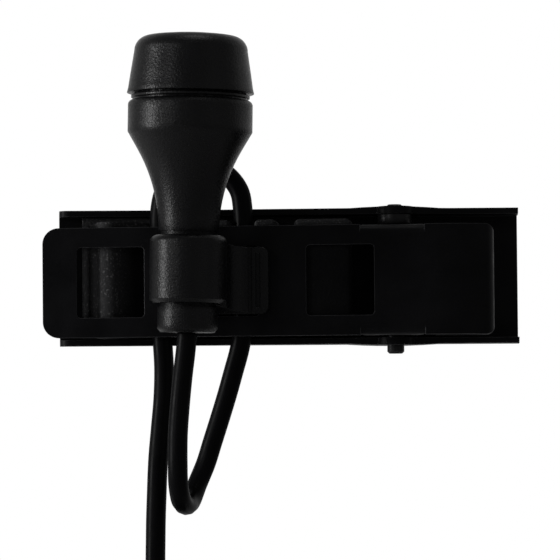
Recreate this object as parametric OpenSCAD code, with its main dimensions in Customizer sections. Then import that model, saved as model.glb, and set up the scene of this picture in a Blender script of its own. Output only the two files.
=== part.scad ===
// Lavalier microphone held by a two-jaw spring clip, with its lead coiled and tied.
// X runs along the clip from the jaw tips to the tails, Y from front to back, Z up.
// The origin is where the front jaw meets the grip lip, halfway up the front jaw.

/* [Front jaw] */
// Thickness of the sheet that both jaws are pressed from
sheet_t = 0.6; // [0.5:0.05:0.7]
// Height of the front jaw
jaw_h = 10.95; // [10.6:0.05:11.3]
// Length of the front jaw past the grip lip, towards the tip
jaw_tip = 4.1; // [3.5:0.1:5]
// Lean of the front jaw away from the clip's long axis, in degrees
jaw_slope = 5; // [4:0.25:5.5]
// Radius of the corners at the tip of the front jaw
jaw_corner_r = 1.6; // [0.6:0.05:2]
// Radius of the corners at the tail of the front jaw
tail_corner_r = 0.8; // [0.4:0.05:1.2]
// Width of a window in the front jaw
window_w = 6.75; // [6.5:0.05:7.1]
// Height of a window in the front jaw
window_h = 7; // [6.6:0.1:7.4]
// Radius of a window's corners
window_corner_r = 0.4; // [0.2:0.05:0.9]
// Distance from one window to the next
window_pitch = 11.45; // [11.2:0.05:11.7]
// Distance from the grip lip to the middle of the first window
first_window_x = 2.7; // [2.5:0.05:2.9]
// Radius of the gentle bend that starts the curled tail
tail_bend_r = 9; // [8:0.25:10]
// Outer radius of the tight curl at the end of the tail
tail_curl_r = 1.7; // [1.5:0.05:2]
// Length of the tail from the pin to where the gentle bend starts
tail_flat = 4.6; // [4.2:0.1:5]
// Length of the flat lip that the curl ends in
tail_lip = 4.2; // [3.5:0.1:4.5]
// Width of an ear of the front jaw where it leaves the plate
ear_w = 6.4; // [5.6:0.1:7]
// Radius of the ear's end round the pin
ear_r = 1.9; // [1.6:0.05:2.1]

/* [Rear jaw] */
// Height of the rear jaw's channel
rear_h = 13.55; // [13.3:0.05:13.8]
// Gap between the jaws' inner faces at the grip lip
throat = 2.8; // [2.6:0.1:3]
// Lean of the rear jaw away from the clip's long axis, in degrees
rear_slope = 4; // [3:0.25:5]
// Length of the rear jaw past the grip lip, towards the tip
rear_tip = 2.6; // [2:0.1:3.5]
// Length of the rear jaw from the pin to the end of its tail
rear_tail = 12.6; // [12:0.1:14]
// Depth of the channel's flanges at the tip
flange_tip = 1.6; // [1.3:0.05:1.7]
// Depth of the channel's flanges at the end of the guide
flange_mid = 2.9; // [2.5:0.1:3.2]
// Depth of the channel's flanges at the tail
flange_tail = 3.8; // [3:0.1:4.2]
// Radius of the flanges' lug round the pin
lug_r = 1.85; // [1.6:0.05:2.2]
// How far the flanges bulge outwards at the pin
flange_bulge = 0.15; // [0.05:0.05:0.3]

/* [Pivot] */
// Distance from the grip lip to the pin, along the clip
pin_x = 31; // [30.5:0.1:31.5]
// Distance from the grip lip to the pin, towards the back
pin_y = 1.2; // [1:0.05:1.4]
// Diameter of the pin
pin_d = 1.7; // [1.5:0.05:1.9]
// Length of pin that stands out below the rear jaw
pin_stub = 1; // [0.4:0.05:1.2]
// Radial clearance of the pin in the front jaw's ears
pin_play = 0.05; // [0.02:0.01:0.08]
// Side clearance between an ear and what it turns against
ear_gap = 0.18; // [0.1:0.01:0.22]
// Outside diameter of the spacer washer
spacer_d = 3.4; // [2.8:0.1:3.8]
// Diameter of the spring's wire
spring_wire_d = 0.6; // [0.5:0.05:0.65]
// Inside diameter of the spring's curls
spring_id = 2.3; // [2.2:0.05:2.4]
// Number of curls in the spring
spring_curls = 6; // [4:1:6]
// Distance from one curl to the next
spring_pitch = 1.1; // [1.05:0.01:1.2]

/* [Cable guide] */
// Length of the guide past the grip lip, towards the tail
guide_l = 26.7; // [26.2:0.1:27.2]
// Clearance between the guide and the inside of the rear jaw's flanges
guide_gap = 0.1; // [0.05:0.01:0.2]
// Gap between the closed front jaw and what it closes on
jaw_gap = 0.05; // [0.03:0.01:0.1]
// Width of a groove that holds the lead
groove_w = 2.3; // [2.2:0.05:2.5]
// Width of the grip lip at the tip
lip_w = 0.75; // [0.6:0.05:0.9]
// Diameter of a stake that holds the guide in the rear jaw
stake_d = 1.6; // [1.2:0.1:2]
// Diameter of a stake's head behind the rear jaw
stake_head_d = 2.6; // [2.2:0.1:3]
// Thickness of a stake's head
stake_head_t = 0.45; // [0.3:0.05:0.6]

/* [Mic holder] */
// Outside diameter of the collar
collar_d = 7.6; // [7.4:0.05:7.9]
// Height of the collar
collar_h = 6.65; // [6:0.05:7]
// Width of the slit in the collar that the lead is passed through
slit_w = 2.2; // [2.1:0.05:2.6]
// Height of the foot that lies on the front jaw
foot_h = 6.6; // [6.2:0.1:6.8]
// Thickness of the foot in front of the jaw
foot_t = 1.05; // [0.9:0.05:1.2]
// Width of the foot beyond each side of the window
foot_over = 1.05; // [0.8:0.05:1.2]
// Clearance between the foot and the window that it fills
foot_gap = 0.05; // [0.03:0.01:0.1]
// How far a hook reaches behind the front jaw
hook_reach = 0.7; // [0.5:0.05:0.8]
// Thickness of a hook
hook_t = 0.6; // [0.5:0.05:0.7]

/* [Microphone] */
// Distance from the grip lip to the microphone's axis, along the clip
mic_x = 10.5; // [10.3:0.05:10.7]
// Distance from the grip lip to the microphone's axis, towards the front
mic_front = 6.85; // [6.7:0.05:7]
// Lean of the microphone towards the tail, in degrees
mic_lean = 1.2; // [0:0.1:2]
// Outside diameter of the body at its shoulder
body_d = 12.25; // [12:0.05:12.5]
// Diameter of the neck above the collar
neck_d = 5.95; // [5.9:0.05:6.1]
// Diameter of the turned-in neck that the collar grips
grip_d = 5.5; // [5.3:0.05:5.6]
// Radius of the flare between neck and shoulder
flare_r = 16; // [15:0.25:17]
// Slope of the cone under the shoulder, in degrees
flare_angle = 30; // [28:0.5:32]
// Height of the straight shoulder
shoulder_h = 3.1; // [2.8:0.1:3.4]
// Height where the flare starts
flare_z = 4.7; // [4.6:0.05:4.8]
// Length of the tail below the collar
tail_h = 2.45; // [2.2:0.05:2.9]
// Height of the shadow gaps above and below the collar
collar_gap = 0.4; // [0.3:0.05:0.45]
// Wall of the body round the capsule
body_wall = 1.3; // [1.2:0.05:1.4]
// How far the retainer ring's visible rim stands back from the shoulder
ring_step = 0.3; // [0.2:0.05:0.4]
// Wall of the body round the retainer ring
spigot_wall = 0.7; // [0.6:0.05:0.8]
// Height of a dark gap beside the retainer ring
ring_gap = 0.2; // [0.15:0.01:0.3]
// Height of the retainer ring's visible rim
ring_h = 0.28; // [0.2:0.01:0.35]
// How much wider the cap's flared rim is than the shoulder
cap_flare = 0.25; // [0.15:0.05:0.35]
// How much narrower the cap is under its top corner than the shoulder
cap_taper = 1.1; // [0.9:0.05:1.3]
// Height of the cap
cap_h = 5.95; // [5.7:0.05:6.2]
// Radius of the cap's top corner
cap_corner_r = 1.5; // [1.3:0.05:1.7]
// Thickness of the cap's top
cap_wall = 0.8; // [0.6:0.05:0.9]
// Diameter of a sound hole
sound_hole_d = 0.8; // [0.6:0.05:1]
// Number of sound holes in the ring of holes
sound_holes = 8; // [6:1:10]
// Diameter of the ring of sound holes
sound_ring_d = 5; // [4.5:0.1:5.5]
// Thickness of the rubber sleeve round the capsule
sleeve_t = 0.3; // [0.25:0.05:0.35]
// Height of the capsule
capsule_h = 4; // [3.8:0.1:4.2]

/* [Lead and plug] */
// Diameter of the lead
lead_d = 2; // [1.9:0.02:2.04]
// Distance between neighbouring turns of the coil
turn_pitch = 2.45; // [2.45:0.01:2.5]
// Radius of the coil's outermost turn, on the lead's centreline
coil_r = 16.35; // [16:0.05:16.5]
// Number of layers in the coil
coil_layers = 4; // [2:2:4]
// Number of whole turns in the coil
coil_turns = 14; // [10:1:14]
// Width of the tie round the coil
tie_w = 4; // [3:0.25:5]
// Thickness of the tie
tie_t = 0.8; // [0.5:0.1:1.2]
// Length of the plug's boot
boot_l = 10; // [8:0.5:12]
// Diameter of the plug's shell
shell_d = 8; // [7.6:0.1:8.6]
// Length of the plug's shell
shell_l = 14.5; // [12:0.5:16]
// Diameter of the locking nut
nut_d = 9.5; // [9:0.1:10]
// Length of the locking nut
nut_l = 5.5; // [5:0.1:6]
// Diameter of the plug's contacts
plug_d = 3.5; // [3.4:0.01:3.6]
// Length of the plug's contacts past the shell's flange
plug_l = 14; // [13.5:0.1:14.5]

/* [Hidden] */
$fn = 64;
paint = "#15161a";
plastic = "#1c1c1e";
rubber = "#232325";
jacket = "#1a1a1c";
steel = "#8d9095";
gold = "#c9a24a";
eps = 0.01;

// Rear jaw: the front jaw stands ear_gap above its lower flange
rear_z0 = -jaw_h / 2 - ear_gap - sheet_t;
rear_z1 = rear_z0 + rear_h;
rear_l = pin_x + rear_tail;
fold_r = sheet_t * 1.5;
guide_z0 = rear_z0 + sheet_t + guide_gap;
guide_z1 = rear_z1 - sheet_t - guide_gap;
deep = 40;
stake_x = [4, 24];

// Guide: where its grooves and its hump are, and the depth it keeps on the rear jaw
first_groove_x = 7.6;
second_groove_x = 15.85;
spare_groove_x = 20.15;
spare_groove_w = 1.6;
hump_r = 1.3;
hump_x = 2.45;
hump_end_x = first_groove_x - groove_w / 2;
slot_floor = 0.65;
groove_floor = 0.9;
pad_z0 = -5.35;
pad_z1 = 6.1;
pad_corner_r = 0.6;
lip_corner_r = 2;

// A point of the plan, turned into the front jaw's own directions
function in_jaw(p) = [
    p.x * cos(jaw_slope) - p.y * sin(jaw_slope), p.x * sin(jaw_slope) + p.y * cos(jaw_slope)];
// A point of the plan, turned into the rear jaw's own directions
function in_rear(p) = [
    p.x * cos(rear_slope) + (p.y - throat) * sin(rear_slope),
    (p.y - throat) * cos(rear_slope) - p.x * sin(rear_slope)];
// Inner faces of the two jaws at x
function jaw_y(x) = -x * tan(jaw_slope);
function web_y(x) = throat + x * tan(rear_slope);

jaw_pin = in_jaw([pin_x, pin_y]);
rear_pin = in_rear([pin_x, pin_y]);
flare_bend = 30;
bend_x = jaw_pin.x + tail_flat;
bend_end = [bend_x + tail_bend_r * sin(flare_bend), tail_bend_r * (1 - cos(flare_bend)) - sheet_t];
curl_centre = bend_end + tail_curl_r * [-sin(flare_bend), cos(flare_bend)];

// Microphone heights, up its own axis from the middle of the front jaw
collar_z0 = flare_z - collar_gap - collar_h;
tail_z1 = collar_z0 - collar_gap;
tail_z0 = tail_z1 - tail_h;
cone_z = flare_z + flare_r * sin(flare_angle);
cone_r = neck_d / 2 + flare_r * (1 - cos(flare_angle));
shoulder_z0 = cone_z + (body_d / 2 - cone_r) / tan(flare_angle);
shoulder_z1 = shoulder_z0 + shoulder_h;
shoulder_r = 0.5;
cavity_r = body_d / 2 - body_wall;
capsule_d = 2 * (cavity_r - sleeve_t);
ring_d = body_d - 2 * ring_step;
spigot_d = body_d - 2 * spigot_wall;
cap_rim_d = body_d + cap_flare;
cap_top_d = body_d - cap_taper;
spigot_l = 1.05;
ring_z0 = shoulder_z1 + ring_gap;
ring_z1 = ring_z0 + ring_h;
cap_z0 = ring_z1 + ring_gap;
cap_z1 = cap_z0 + cap_h;
spigot_z1 = cap_z0 + spigot_l;
fit = 0.05;
screen_t = 0.3;
capsule_z0 = shoulder_z1 - capsule_h + 0.9;
board_z1 = capsule_z0 - 0.5;
board_t = 0.8;
board_d = 7.6;
part_room = 0.7;
bore_d = 3.6;
sleeve_z0 = capsule_z0 - 0.25;
stub_z1 = 2.5;

// Coil: its centre, and where its outermost turn starts
coil_x = 6.6;
coil_y = 0.6;
coil_z = -50.5;
coil_start = 70;
loop_rings = 24;

// Plug heights, down from where the lead meets the boot
end_x = coil_x + coil_r;
end_y = coil_y + (coil_layers - 1) * turn_pitch;
boot_z = -59.5;
shell_z = boot_z - boot_l;
face_z = shell_z - shell_l;
neck_l = 2.5;
flange_t = 0.6;
neck_r = 2.6;
sleeve_l = 6.2;
insulator_t = 0.6;
ring_l = 2.6;
plug_z = face_z - neck_l - flange_t;
tip_z = plug_z - plug_l;
ring_z = plug_z - sleeve_l - insulator_t;
tip_top = ring_z - ring_l - insulator_t;

// The lead's route, chosen by hand
mic_exit = [mic_x + tail_z0 * sin(mic_lean), -mic_front, tail_z0 * cos(mic_lean)];
front_route = [mic_exit, mic_exit - [0.2, 0, 2], [9.9, -6.9, -9.5], [9.6, -7.1, -12.5],
    [9.4, -7.4, -15.3], [9.37, -7.6, -18], [9.4, -7.1, -20], [9.65, -5.6, -21.6],
    [10.1, -3.6, -22.1]];
rear_route = [[10.1, -3.6, -22.1], [10.55, -1.6, -21.6], [11.15, -0.1, -20], [11.98, 0.4, -18],
    [12.62, 0.4, -16], [13.4, 0.3, -13.6], [14.15, 0.15, -11.2], [14.84, 0, -8.8],
    [15.4, -0.1, -6.8], [15.72, -0.2, -5], [15.85, -0.2, -1], [15.85, -0.2, 3],
    [15.85, -0.2, 7.2], [15.45, -0.1, 9.2], [14, 0.1, 10.9], [11.9, 0.2, 11.5],
    [9.8, 0.35, 10.95], [8.2, 0.45, 9.4], [7.6, 0.5, 7.2], [7.6, 0.5, 3], [7.6, 0.5, -1],
    [7.7, 0.5, -5], [7.87, 0.5, -8.5], [7.78, 0.5, -11.5], [7.5, 0.55, -14.5],
    [7.22, 0.6, -17.5], [7.05, 0.6, -21], [6.92, 0.6, -25], [6.95, 0.6, -29.7],
    [7.4, 0.6, -31.7], [8.6, 0.6, -33.4], [10.3, 0.6, -34.45]];
coil_angle = coil_start + 360 * coil_turns;
layer_angle = coil_angle / coil_layers;
layer_in = turn_pitch * layer_angle / 360;

// How far into the bundle the coil lies at angle a: in and out again at a steady rate
function coil_in(a) =
    let(k = floor(a / layer_angle), part = a / layer_angle - k)
    layer_in * (k % 2 == 0 ? part : 1 - part);
// How far back it lies: it climbs a layer in the half turn where the spiral reverses
function coil_back(a) =
    let(k = round(a / layer_angle), from_turn = a - k * layer_angle)
    k < 1 ? 0 : k > coil_layers - 1 ? (coil_layers - 1) * turn_pitch :
    turn_pitch * (k - 1 + max(0, min(1, from_turn / 180 + 0.5)));
function coil_point(a) =
    let(r = coil_r - coil_in(a), at = coil_start - a)
    [coil_x + r * cos(at), coil_y + coil_back(a), coil_z + r * sin(at)];
coil_steps = ceil(coil_angle / 360 * loop_rings);
coil_turn = [for (i = [0 : coil_steps]) coil_point(i * coil_angle / coil_steps)];
coil_entry = [sin(coil_start), 0, -cos(coil_start)];
coil_route = concat([coil_turn[0] - lead_d * coil_entry], coil_turn,
    [coil_turn[coil_steps] - [0, 0, lead_d]]);
end_route = [[end_x, end_y, coil_z - lead_d], [end_x, end_y, (coil_z - lead_d + boot_z) / 2],
    [end_x, end_y, boot_z]];

// Least gap between one turn and any other, on the route's points
function least_gap(path, d, apart) =
    min([for (i = [0 : len(path) - 1]) for (j = [i + apart : 1 : len(path) - 1])
        norm(path[i] - path[j])]) - d;
coil_gap = least_gap(coil_turn, lead_d, loop_rings / 2);
coil_length = sum_of([for (i = [1 : coil_steps]) norm(coil_turn[i] - coil_turn[i - 1])]);
function sum_of(v, i = 0) = i < len(v) ? v[i] + sum_of(v, i + 1) : 0;
echo(coil_gap_mm = coil_gap, coil_length_mm = coil_length);

// Spring: a helix up the pin, with a straight leg out of each end
spring_r = (spring_id + spring_wire_d) / 2;
spring_rings = 8;
leg_front = [-35, 4.3];
leg_back = [28, 4.9];
spring_from = leg_front[0] - 90;
spring_to = leg_back[0] + 90 + 360 * (spring_curls - 1);
spring_steps = ceil((spring_to - spring_from) / 360 * spring_rings);
spring_l = spring_pitch * (spring_to - spring_from) / 360;
spring_turn = [for (i = [0 : spring_steps])
    let(a = spring_from + (spring_to - spring_from) * i / spring_steps)
    [pin_x + spring_r * cos(a), pin_y + spring_r * sin(a), spring_l * (i / spring_steps - 0.5)]];
spring_route = concat([spring_turn[0] + leg_front[1] * [cos(leg_front[0]), sin(leg_front[0]), 0]],
    spring_turn,
    [spring_turn[spring_steps] + leg_back[1] * [cos(leg_back[0]), sin(leg_back[0]), 0]]);
spring_gap = least_gap(spring_turn, spring_wire_d, spring_rings / 2);
echo(spring_gap_mm = spring_gap);

// ---- Tubes swept along a route ----
function unit(v) = v / norm(v);
function across(v) = unit(cross(v, abs(unit(v).z) < 0.9 ? [0, 0, 1] : [0, 1, 0]));
function tangents(path, first, last) = [for (i = [0 : len(path) - 1])
    i == 0 ? (is_undef(first) ? unit(path[1] - path[0]) : first) :
    i == len(path) - 1 ? (is_undef(last) ? unit(path[i] - path[i - 1]) : last) :
    unit(unit(path[i] - path[i - 1]) + unit(path[i + 1] - path[i]))];
// Side directions, each carried on from the last so that the tube doesn't twist
function sides_of(t, i = 0, side = undef) =
    let(s = is_undef(side) ? across(t[0]) : unit(side - t[i] * (side * t[i])))
    i == len(t) - 1 ? [s] : concat([s], sides_of(t, i + 1, s));
module tube(path, d, n, first, last) {
    t = tangents(path, first, last);
    s = sides_of(t);
    rings = len(path);
    points = [for (i = [0 : rings - 1]) for (k = [0 : n - 1])
        path[i] + d / 2 * (cos(360 * k / n) * s[i] + sin(360 * k / n) * cross(t[i], s[i]))];
    walls = [for (i = [0 : rings - 2]) for (k = [0 : n - 1])
        let(a = i * n + k, b = i * n + (k + 1) % n)
        each [[a, a + n, b], [b, a + n, b + n]]];
    last_ring = (rings - 1) * n;
    near_end = [for (k = [1 : n - 2]) [0, k, k + 1]];
    far_end = [for (k = [1 : n - 2]) [last_ring, last_ring + k + 1, last_ring + k]];
    polyhedron(points, concat(walls, near_end, far_end));
}

// ---- Outlines ----
// Rectangle from x0 to x1 and h high, with corners r0 on the left and r1 on the right
module round_plate(x0, x1, h, r0, r1) {
    translate([x0 + r0, -h / 2])
        square([x1 - x0 - r0 - r1, h]);
    translate([x0, r0 - h / 2])
        square([r0 + eps, h - 2 * r0]);
    translate([x1 - r1 - eps, r1 - h / 2])
        square([r1 + eps, h - 2 * r1]);
    for (s = [-1, 1]) {
        translate([x0 + r0, s * (h / 2 - r0)])
            circle(r0);
        translate([x1 - r1, s * (h / 2 - r1)])
            circle(r1);
    }
}
// Strip t thick inside the radius r, from an angle over a sweep
module arc_strip(r, t, from, sweep) {
    intersection() {
        difference() {
            circle(r, $fn = 96);
            circle(r - t, $fn = 96);
        }
        polygon(concat([[0, 0]], [for (i = [0 : 5]) 2 * r * [
            cos(from + sweep * i / 5), sin(from + sweep * i / 5)]]));
    }
}
// Upright outline (X, Z) drawn through the thickness y0 to y1
module through(y0, y1) {
    translate([0, y1, 0])
        rotate([90, 0, 0])
            linear_extrude(y1 - y0)
                children();
}
module in_front_jaw() {
    rotate([0, 0, -jaw_slope])
        children();
}
module in_rear_jaw() {
    translate([0, throat, 0])
        rotate([0, 0, rear_slope])
            children();
}
module on_mic_axis() {
    translate([mic_x, -mic_front, 0])
        rotate([0, mic_lean, 0])
            children();
}
module on_plug_axis() {
    translate([end_x, end_y, 0])
        children();
}
module hollow_cylinder(r_out, r_in, z0, z1) {
    translate([0, 0, z0])
        difference() {
            cylinder(r = r_out, h = z1 - z0);
            translate([0, 0, -1])
                cylinder(r = r_in, h = z1 - z0 + 2);
        }
}

// ---- Clip ----
// Section of the front jaw, seen from above in its own directions
module jaw_section() {
    translate([-jaw_tip, -sheet_t])
        square([bend_x + jaw_tip + eps, sheet_t]);
    translate([bend_x, tail_bend_r - sheet_t])
        arc_strip(tail_bend_r, sheet_t, -90, flare_bend + 0.2);
    translate(curl_centre)
        arc_strip(tail_curl_r, sheet_t, flare_bend - 90, 180 - flare_bend);
    translate([curl_centre.x - tail_lip, curl_centre.y + tail_curl_r - sheet_t])
        square([tail_lip + eps, sheet_t]);
}
// One ear, as an L with a rounded fold, from the jaw's middle upwards
module ear() {
    intersection() {
        translate([jaw_pin.x - ear_w / 2, 0, 0])
            rotate([90, 0, 90])
                linear_extrude(ear_w)
                    difference() {
                        translate([-sheet_t, 0])
                            square([jaw_pin.y + ear_r + sheet_t, jaw_h / 2]);
                        translate([0, -eps])
                            square([jaw_pin.y + ear_r + 1, jaw_h / 2 - sheet_t + eps]);
                        translate([-sheet_t - eps, jaw_h / 2 - fold_r])
                            difference() {
                                square(fold_r + eps);
                                translate([fold_r + eps, 0])
                                    circle(fold_r);
                            }
                    }
        linear_extrude(jaw_h) {
            polygon([[jaw_pin.x - ear_w / 2, -sheet_t], [jaw_pin.x + ear_w / 2, -sheet_t],
                [jaw_pin.x + ear_r, jaw_pin.y], [jaw_pin.x - ear_r, jaw_pin.y]]);
            translate(jaw_pin)
                circle(ear_r);
        }
    }
}
module front_jaw() {
    color(paint)
        in_front_jaw()
            difference() {
                union() {
                    intersection() {
                        translate([0, 0, -jaw_h / 2])
                            linear_extrude(jaw_h)
                                jaw_section();
                        through(-5, deep / 4)
                            round_plate(-jaw_tip, curl_centre.x + tail_curl_r, jaw_h,
                                jaw_corner_r, tail_corner_r);
                    }
                    ear();
                    mirror([0, 0, 1])
                        ear();
                }
                for (s = [-1, 1])
                    scale([1, 1, s])
                        translate([jaw_pin.x - ear_w / 2, -sheet_t - eps, jaw_h / 2 - fold_r])
                            rotate([90, 0, 90])
                                linear_extrude(ear_w)
                                    difference() {
                                        square(fold_r + eps);
                                        translate([fold_r + eps, 0])
                                            circle(fold_r);
                                    }
                for (k = [0 : 2])
                    translate([first_window_x + k * window_pitch, 0, 0])
                        through(-2, 1)
                            round_plate(-window_w / 2, window_w / 2, window_h,
                                window_corner_r, window_corner_r);
                translate([jaw_pin.x, jaw_pin.y, -jaw_h])
                    cylinder(d = pin_d + 2 * pin_play, h = 2 * jaw_h);
            }
}
// Block with the flanges' edge, seen from above in the rear jaw's own directions
module flange_block() {
    corner_r = 1;
    side = 0.8 * lug_r;
    down = 0.3 * lug_r;
    deepen_x = 9;
    deep_x = 17;
    rise_x = rear_pin.x + 5.5;
    rise_y = flange_tail - 0.3;
    tail_lean = 0.35;
    translate([0, 0, rear_z0 - 1])
        difference() {
            union() {
                linear_extrude(rear_h + 2)
                    polygon([[-rear_tip, sheet_t + 1], [rear_l, sheet_t + 1], [rear_l, -sheet_t],
                        [rear_l - tail_lean, -flange_tail], [rise_x, -rise_y],
                        [rear_pin.x + side, rear_pin.y - down],
                        [rear_pin.x - side, rear_pin.y - down], [deep_x, -flange_mid],
                        [deepen_x, -flange_tip], [-rear_tip, -flange_tip]]);
                translate([rear_pin.x, rear_pin.y, 0])
                    cylinder(r = lug_r, h = rear_h + 2);
            }
            translate([-rear_tip - 1, -flange_tip - 1, -1])
                difference() {
                    cube([corner_r + 1, corner_r + 1, rear_h + 4]);
                    translate([corner_r + 1, corner_r + 1, -1])
                        cylinder(r = corner_r, h = rear_h + 6);
                }
        }
}
module rear_jaw() {
    bulge_l = 4.5;
    bulge_r = (pow(bulge_l, 2) + pow(flange_bulge, 2)) / (2 * flange_bulge);
    color(paint)
        in_rear_jaw()
            difference() {
                intersection() {
                    union() {
                        rotate([90, 0, 90])
                            translate([0, 0, -rear_tip])
                                linear_extrude(rear_l + rear_tip)
                                    channel_section();
                        through(-deep / 2, 0)
                            intersection() {
                                translate([rear_pin.x, rear_z1 + flange_bulge - bulge_r])
                                    circle(bulge_r, $fn = 360);
                                translate([rear_pin.x, rear_z0 - flange_bulge + bulge_r])
                                    circle(bulge_r, $fn = 360);
                                difference() {
                                    translate([rear_pin.x - bulge_l, rear_z0 - 1])
                                        square([2 * bulge_l, rear_h + 2]);
                                    translate([0, rear_z0 + sheet_t])
                                        square([deep * 2, rear_h - 2 * sheet_t]);
                                }
                            }
                    }
                    flange_block();
                }
                translate([rear_pin.x, rear_pin.y, rear_z0 - 1])
                    cylinder(d = pin_d, h = rear_h + 2);
                for (x = stake_x)
                    translate([x, -1, (rear_z0 + rear_z1) / 2])
                        rotate([-90, 0, 0])
                            cylinder(d = stake_d + 2 * fit, h = 3);
            }
}
// Section of the channel: X is depth towards the back, Y is height
module channel_section() {
    difference() {
        union() {
            translate([-deep / 2, rear_z0])
                square([deep / 2 + sheet_t - fold_r, rear_h]);
            translate([0, rear_z0 + fold_r])
                square([sheet_t, rear_h - 2 * fold_r]);
            for (z = [rear_z0 + fold_r, rear_z1 - fold_r])
                translate([sheet_t - fold_r, z])
                    circle(fold_r);
        }
        translate([-deep / 2 - 1, rear_z0 + sheet_t])
            square([deep / 2 + 1, rear_h - 2 * sheet_t]);
    }
}
module pivot_pin() {
    chamfer = 0.2;
    color(steel)
        translate([pin_x, pin_y, 0])
            rotate_extrude()
                polygon([[0, rear_z0 - pin_stub], [pin_d / 2 - chamfer, rear_z0 - pin_stub],
                    [pin_d / 2, rear_z0 - pin_stub + chamfer], [pin_d / 2, rear_z1 + flange_bulge],
                    [pin_d / 2 - chamfer, rear_z1 + flange_bulge + chamfer],
                    [0, rear_z1 + flange_bulge + chamfer]]);
}
module spacer_washer() {
    color(steel)
        translate([pin_x, pin_y, 0])
            hollow_cylinder(spacer_d / 2, pin_d / 2 + pin_play, jaw_h / 2 + ear_gap, rear_z1 - sheet_t);
}
module torsion_spring() {
    color(steel)
        tube(spring_route, spring_wire_d, 6);
}

// Plan of a pad of the guide that reaches the front jaw, from x0 to x1, with rounded edges
module pad_plan(x0, x1, r) {
    translate([x0 + r, jaw_gap])
        square([x1 - x0 - 2 * r, deep / 4]);
    translate([x0, jaw_gap + r])
        square([x1 - x0, deep / 4]);
    for (x = [x0 + r, x1 - r])
        translate([x, jaw_gap + r])
            circle(r);
}
module guide_pad(x0, x1, r) {
    in_front_jaw()
        translate([0, 0, (pad_z0 + pad_z1) / 2])
            intersection() {
                translate([0, 0, -deep / 2])
                    linear_extrude(deep)
                        pad_plan(x0, x1, r);
                through(-1, deep / 4)
                    round_plate(x0, x1, pad_z1 - pad_z0, pad_corner_r, pad_corner_r);
            }
}
// Plan of the grip lip at the tip, and of the hump behind it that slopes down to the first groove
module lip_plan() {
    rotate(-jaw_slope)
        pad_plan(-lip_w / 3, lip_w * 2 / 3, lip_w / 2 - eps);
    translate([0, slot_floor])
        square([hump_x, deep / 4]);
    translate([hump_x, jaw_y(hump_x) + jaw_gap + hump_r])
        circle(hump_r);
    polygon([[hump_x - hump_r, jaw_y(hump_x) + jaw_gap + hump_r], [hump_x, jaw_gap + hump_r],
        [hump_x + hump_r * cos(55), jaw_y(hump_x) + jaw_gap + hump_r * (1 - sin(55))],
        [hump_end_x, web_y(first_groove_x) - groove_floor - 0.6],
        [hump_end_x + 0.5, deep / 4], [hump_x - hump_r, deep / 4]]);
}
module guide_lip() {
    translate([0, 0, (guide_z0 + pad_z1) / 2])
        intersection() {
            translate([0, 0, -deep / 2])
                linear_extrude(deep)
                    lip_plan();
            through(-1, deep / 4)
                round_plate(-lip_w / 3, hump_end_x, pad_z1 - guide_z0, lip_corner_r, pad_corner_r);
        }
}
module cable_guide() {
    pocket_x = first_window_x + window_pitch;
    color(plastic) {
        difference() {
            intersection() {
                union() {
                    guide_lip();
                    guide_pad(first_groove_x + groove_w / 2, second_groove_x - groove_w / 2, 0.5);
                    guide_pad(second_groove_x + groove_w / 2, spare_groove_x - spare_groove_w / 2, 0.5);
                    guide_pad(spare_groove_x + spare_groove_w / 2, guide_l, 0.8);
                    translate([0, 0, guide_z0])
                        linear_extrude(guide_z1 - guide_z0)
                            polygon([[-lip_w / 3, web_y(0) - groove_floor],
                                [guide_l, web_y(guide_l) - groove_floor], [guide_l, deep / 4],
                                [-lip_w / 3, deep / 4]]);
                }
                translate([0, 0, -deep / 2])
                    linear_extrude(deep)
                        polygon([[-2, web_y(-2)], [guide_l, web_y(guide_l)], [guide_l, -deep / 4],
                            [-2, -deep / 4]]);
            }
            in_front_jaw()
                translate([pocket_x - window_w / 2 - hook_reach - 0.5, -1, -foot_h / 2 - 0.3])
                    cube([window_w + 2 * hook_reach + 1, 1 + hook_t + 0.4, foot_h + 0.6]);
        }
        for (x = stake_x)
            in_rear_jaw()
                translate([x, -eps, (rear_z0 + rear_z1) / 2])
                    rotate([-90, 0, 0]) {
                        cylinder(d = stake_d, h = sheet_t + 2 * eps);
                        translate([0, 0, sheet_t + eps])
                            cylinder(d = stake_head_d, h = stake_head_t);
                    }
    }
}

// ---- Holder ----
// Web that sweeps from the collar back to the foot, tapered as seen from the front
module holder_web() {
    sweep_r = 2.2;
    step = 0.05;
    reach = 5.8;
    far_x = mic_x + reach;
    foot_y = jaw_y(far_x) - (sheet_t + foot_t) / cos(jaw_slope);
    sweep_y = foot_y - sweep_r - step;
    sweep_x = mic_x + sqrt(pow(collar_d / 2 + sweep_r + step, 2) - pow(sweep_y + mic_front, 2));
    intersection() {
        translate([0, 0, -deep / 2])
            linear_extrude(deep)
                difference() {
                    polygon([[mic_x, -mic_front], [sweep_x, sweep_y], [sweep_x, foot_y + foot_t / 2],
                        [mic_x - 1.2, jaw_y(mic_x) - sheet_t - foot_t / 2]]);
                    translate([sweep_x, sweep_y])
                        circle(sweep_r);
                }
        through(-deep / 4, 0)
            polygon([[mic_x - 2, collar_z0 + 0.1], [mic_x + 2, collar_z0 + 0.1],
                [mic_x + 4.4, 0.3 - foot_h / 2], [far_x + 1, 0.1 - foot_h / 2],
                [far_x + 1, foot_h / 2 - 0.1], [mic_x + 4.6, foot_h / 2 + 0.1],
                [mic_x + 3.2, foot_h / 2 + 0.5], [mic_x - 2, foot_h / 2 + 0.5]]);
    }
}
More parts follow.
